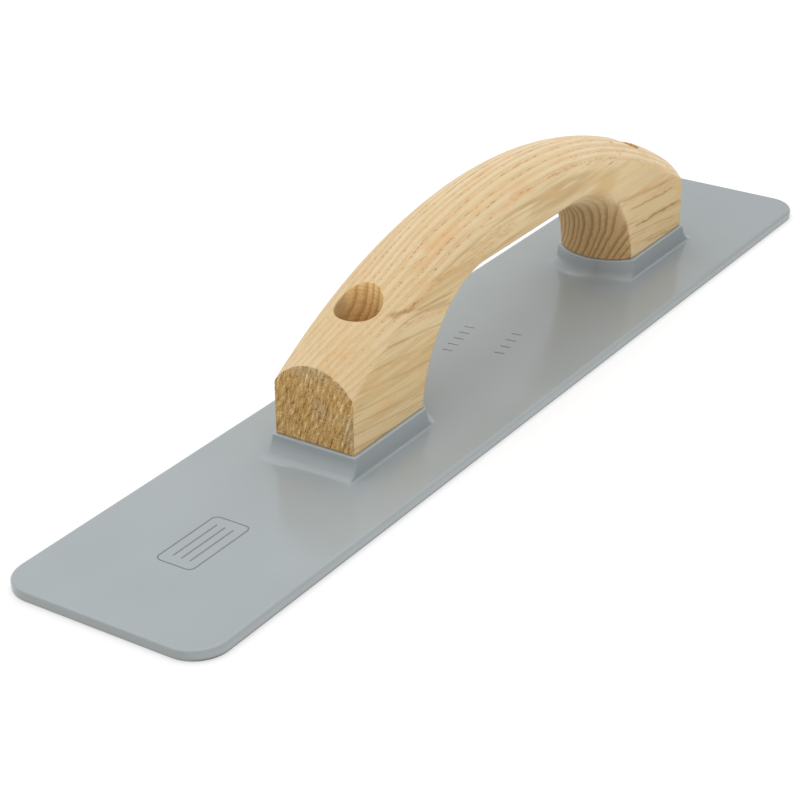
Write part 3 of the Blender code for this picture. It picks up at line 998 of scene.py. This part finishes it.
def wood_material():
    """Pale ring-porous hardwood, solid through the handle: rings round a pith that lies beside it."""
    n = Nodes("pale_ash")
    wood = Grain(n)
    torn = torn_height(n, wood)
    across = n.mix(wood.sawn, end_colour(n, wood), sawn_colour(n, wood, torn))
    n.link(n.mix(wood.end_grain, planed_colour(n, wood), across), n.shader.inputs["Base Color"])

    rough = n.plus(0.56, n.times(wood.fibre, 0.12))
    rough = n.math("ADD", rough, n.times(wood.end_grain, 0.2), clamp=True)
    n.link(rough, n.shader.inputs["Roughness"])
    n.shader.inputs["Specular IOR Level"].default_value = 0.35

    planed_height = n.minus(n.times(wood.fibre, 0.25), n.times(wood.pore, 0.9))
    end_height = n.minus(n.times(wood.grit, 0.25), n.times(wood.end_pore, 0.3))
    normal = n.bump(planed_height, 0.00007, 0.6)
    normal = n.bump(end_height, 0.0003, n.times(wood.end_grain, 0.7), normal)
    normal = n.bump(torn, 0.0008, n.times(wood.sawn, 0.8), normal)
    n.link(normal, n.shader.inputs["Normal"])
    return n.material


# Colours of painted light on the lacquer: shade for the heel and the bosses' walls, a highlight for the
# boss rims, shade for the plate's edge, and a contact shadow where the edge meets the sole
SHADE_GREY = (0.205, 0.228, 0.238, 1.0)
RIM_HIGHLIGHT = (0.56, 0.61, 0.64, 1.0)
EDGE_SHADE = (0.215, 0.220, 0.206, 1.0)
CONTACT_SHADOW = (0.095, 0.095, 0.092, 1.0)


def paint_material(name, base, dark):
    """Satin lacquer on a fine cast surface."""
    n = Nodes(name)
    place = n.place()
    broad = n.noise(n.stretch(place, (0.02, 0.03, 0.03)), 1.0, 3.0, 0.5)
    speck = n.noise(place, 1.8, 3.0, 0.6)
    shade = n.mix(n.step(broad, 0.3, 0.7), base, dark)
    shade = n.mix(n.times(n.step(speck, 0.62, 0.75), 0.12), shade, dark)
    # painted shade: a slightly deeper tone towards the heel, where less light falls
    x, _, height = n.split(place)
    shade = n.mix(n.step(x, -20.0, 190.0, 0.0, 0.34), shade, SHADE_GREY)
    # painted shade on the bosses' walls and a painted highlight along their rims
    _, facing_side, facing_up = n.split(n.node("ShaderNodeNewGeometry").outputs["Normal"])
    wall = n.times(n.step(facing_up, 0.7, 0.2), n.step(height, PLATE_TOP, PLATE_TOP + 1.0))
    shade = n.mix(n.times(wall, 0.28), shade, SHADE_GREY)
    shade = n.mix(n.step(height, BOSS_TOP - 0.7, BOSS_TOP - 0.3, 0.0, 0.22), shade, RIM_HIGHLIGHT)
    # painted shade on the plate's edge, a warmer grey, deeper on the ends than on the long sides, and a
    # painted contact shadow where it meets the sole
    on_edge = n.step(height, PLATE_TOP - 0.1, PLATE_TOP - 0.7)
    edge_shade_strength = n.step(n.math("ABSOLUTE", facing_side), 0.2, 0.8, 0.52, 0.22)
    shade = n.mix(n.times(on_edge, edge_shade_strength), shade, EDGE_SHADE)
    contact_shadow_mask = n.times(n.step(height, 1.5, 0.5, 0.0, 0.9), n.step(edge_shade_strength, 0.5, 0.24, 0.35, 1.0))
    shade = n.mix(contact_shadow_mask, shade, CONTACT_SHADOW)
    n.link(shade, n.shader.inputs["Base Color"])
    rough = n.plus(0.12, n.times(broad, 0.06))
    rough = n.plus(rough, n.times(speck, 0.03))
    n.link(rough, n.shader.inputs["Roughness"])
    n.shader.inputs["IOR"].default_value = 1.50
    peel = n.noise(place, 0.9, 3.0, 0.55)
    grain = n.noise(place, 4.0, 2.0, 0.5)
    relief = n.plus(peel, n.times(grain, 0.08))
    n.link(n.bump(relief, 0.00003, 0.45), n.shader.inputs["Normal"])
    return n.material


def sole_material():
    """Bare magnesium, ground along its length."""
    n = Nodes("ground_magnesium")
    place = n.place()
    lines = n.noise(n.stretch(place, (0.02, 5.0, 5.0)), 1.0, 4.0, 0.7)
    cloud = n.noise(place, 0.04, 3.0, 0.5)
    shade = n.mix(n.step(lines, 0.3, 0.7), (0.58, 0.59, 0.60, 1.0), (0.72, 0.73, 0.73, 1.0))
    shade = n.mix(n.times(n.step(cloud, 0.4, 0.7), 0.4), shade, (0.50, 0.51, 0.52, 1.0))
    n.link(shade, n.shader.inputs["Base Color"])
    n.shader.inputs["Metallic"].default_value = 0.85
    rough = n.plus(0.36, n.times(lines, 0.16))
    n.link(rough, n.shader.inputs["Roughness"])
    n.link(n.bump(lines, 0.00002, 0.6), n.shader.inputs["Normal"])
    return n.material


def zinc_material():
    """Bright zinc plate with a fine texture and a dulled film."""
    n = Nodes("bright_zinc")
    place = n.place()
    cloud = n.noise(place, 0.5, 3.0, 0.6)
    fine = n.noise(place, 6.0, 3.0, 0.6)
    shade = n.mix(n.step(cloud, 0.3, 0.7), (0.60, 0.62, 0.64, 1.0), (0.48, 0.49, 0.48, 1.0))
    n.link(shade, n.shader.inputs["Base Color"])
    n.shader.inputs["Metallic"].default_value = 1.0
    rough = n.plus(0.26, n.times(cloud, 0.18))
    n.link(rough, n.shader.inputs["Roughness"])
    n.link(n.bump(fine, 0.00002, 0.4), n.shader.inputs["Normal"])
    return n.material


def floor_material():
    n = Nodes("studio_floor")
    n.shader.inputs["Base Color"].default_value = (0.50, 0.50, 0.50, 1.0)
    n.shader.inputs["Emission Color"].default_value = (1.0, 1.0, 1.0, 1.0)
    n.shader.inputs["Emission Strength"].default_value = 0.55
    n.shader.inputs["Roughness"].default_value = 0.9
    n.shader.inputs["Specular IOR Level"].default_value = 0.1
    return n.material


# ---- light and camera


FLOOR_REACH = 6.0


def build_floor():
    mesh = bpy.data.meshes.new("studio_floor")
    corners = [(x * FLOOR_REACH, y * FLOOR_REACH, 0.0) for x, y in ((-1, -1), (1, -1), (1, 1), (-1, 1))]
    mesh.from_pydata(corners, [], [(0, 1, 2, 3)])
    mesh.materials.append(floor_material())
    floor = bpy.data.objects.new("studio_floor", mesh)
    bpy.context.scene.collection.objects.link(floor)


def build_world():
    """White light from all round: level with the floor at the horizon, then a little greyer."""
    world = bpy.data.worlds.new("studio")
    world.use_nodes = True
    nodes, links = world.node_tree.nodes, world.node_tree.links
    background = nodes["Background"]
    background.inputs["Color"].default_value = (1.0, 1.0, 1.0, 1.0)
    place = nodes.new("ShaderNodeTexCoord")
    split = nodes.new("ShaderNodeSeparateXYZ")
    fade = nodes.new("ShaderNodeMapRange")
    fade.interpolation_type = "SMOOTHSTEP"
    for key, number in (("From Min", 0.0), ("From Max", 0.20), ("To Min", 0.94), ("To Max", 0.77)):
        fade.inputs[key].default_value = number
    links.new(place.outputs["Generated"], split.inputs[0])
    links.new(split.outputs["Z"], fade.inputs["Value"])
    links.new(fade.outputs["Result"], background.inputs["Strength"])
    bpy.context.scene.world = world


LIGHT_PLACE = (0.15, 0.30, 1.40)
LIGHT_SIZE = 1.9
LIGHT_POWER = 8.0


def build_light():
    """One broad soft light overhead, aimed at the middle of the sole."""
    light = bpy.data.lights.new("overhead", "AREA")
    light.shape = "DISK"
    light.size = LIGHT_SIZE
    light.energy = LIGHT_POWER
    made = bpy.data.objects.new("overhead", light)
    made.location = LIGHT_PLACE
    made.rotation_euler = (-Vector(LIGHT_PLACE)).to_track_quat("-Z", "Y").to_euler()
    bpy.context.scene.collection.objects.link(made)


CAMERA_PLACE = (-0.6005, -0.3702, 0.3479)
CAMERA_AZIMUTH = math.radians(-56.464)
CAMERA_ELEVATION = math.radians(27.033)
CAMERA_ROLL = math.radians(-0.46)
CAMERA_LENS = 98.16


def build_camera():
    back = Vector(
        (
            math.sin(CAMERA_AZIMUTH) * math.cos(CAMERA_ELEVATION),
            -math.cos(CAMERA_AZIMUTH) * math.cos(CAMERA_ELEVATION),
            math.sin(CAMERA_ELEVATION),
        )
    )
    right = Vector((0.0, 0.0, 1.0)).cross(back).normalized()
    up = back.cross(right)
    turned_right = right * math.cos(CAMERA_ROLL) + up * math.sin(CAMERA_ROLL)
    turned_up = up * math.cos(CAMERA_ROLL) - right * math.sin(CAMERA_ROLL)
    camera = bpy.data.objects.new("camera", bpy.data.cameras.new("camera"))
    camera.data.lens = CAMERA_LENS
    camera.data.sensor_width = 36.0
    camera.matrix_world = Matrix.Translation(CAMERA_PLACE) @ Matrix(
        (turned_right, turned_up, back)
    ).transposed().to_4x4()
    bpy.context.scene.collection.objects.link(camera)
    bpy.context.scene.camera = camera


# ---- assembly


def main():
    wood = wood_material()
    paint = paint_material("grey_lacquer", (0.396, 0.436, 0.451, 1.0), (0.378, 0.416, 0.430, 1.0))
    # painted shade: a darker copy of the lacquer for the grooves, standing for the shade inside them
    groove = paint_material("grey_lacquer_groove_shade", (0.30, 0.33, 0.34, 1.0), (0.28, 0.31, 0.32, 1.0))
    sole = sole_material()
    zinc = zinc_material()

    handle = build_handle(wood)
    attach(handle, "root")
    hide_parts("handle")

    blade = build_blade(paint, sole, groove)
    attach(blade, "root")
    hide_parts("blade")

    for name in ("toe_handle_screw", "heel_handle_screw", "toe_washer", "heel_washer"):
        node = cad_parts[name]
        node.data.materials.clear()
        node.data.materials.append(zinc)

    build_floor()
    build_world()
    build_light()
    build_camera()
    bpy.context.scene.view_settings.view_transform = "Standard"


main()
